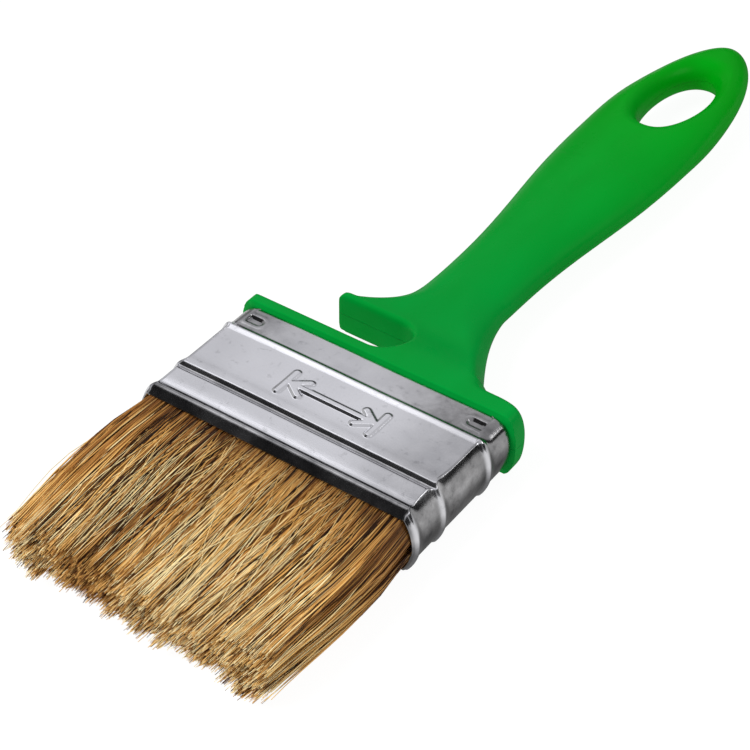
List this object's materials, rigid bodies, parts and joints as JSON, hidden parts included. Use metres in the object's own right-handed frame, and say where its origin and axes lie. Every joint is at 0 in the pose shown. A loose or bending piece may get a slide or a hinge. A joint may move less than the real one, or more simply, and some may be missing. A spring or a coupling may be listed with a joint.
{
  "type": "flat paint brush",
  "caption": "Flat decorator's paint brush: moulded plastic handle with hang hole and can hook, beaded tinned-steel ferrule, natural bristle packs.",
  "frame": {"origin": "under the middle of the whole brush, on the surface that the ferrule's back beads rest on", "axes": "+X across the brush, +Y along it from the bristle tips towards the hang hole, +Z through its thickness, marked front face up"},
  "size_m": [0.0612, 0.2105, 0.0142],
  "materials": {
    "handle_plastic": "satin-gloss green moulded polypropylene",
    "tinned_steel": "bright tinned sheet, lightly scuffed",
    "resin": "cured amber epoxy",
    "plug_wood": "raw softwood strip",
    "bristle": "natural blond to brown hog bristle"
  },
  "bodies": {
    "handle_and_ferrule": {"handle": "handle_plastic", "ferrule": "tinned_steel", "setting_resin": "resin", "spacer_plug": "plug_wood", "front_roots": "bristle", "back_roots": "bristle"},
    "bristle_tuft": {"front_bristles": "bristle", "back_bristles": "bristle"}
  },
  "joints": [
    {"name": "bristle_flex", "type": "hinge", "parent": "handle_and_ferrule", "child": "bristle_tuft", "pos_m": [0, -0.0699, 0.0071], "axis": [1, 0, 0], "range_deg": [-30, 30], "stiffness_Nm_per_rad": 0.3}
  ]
}
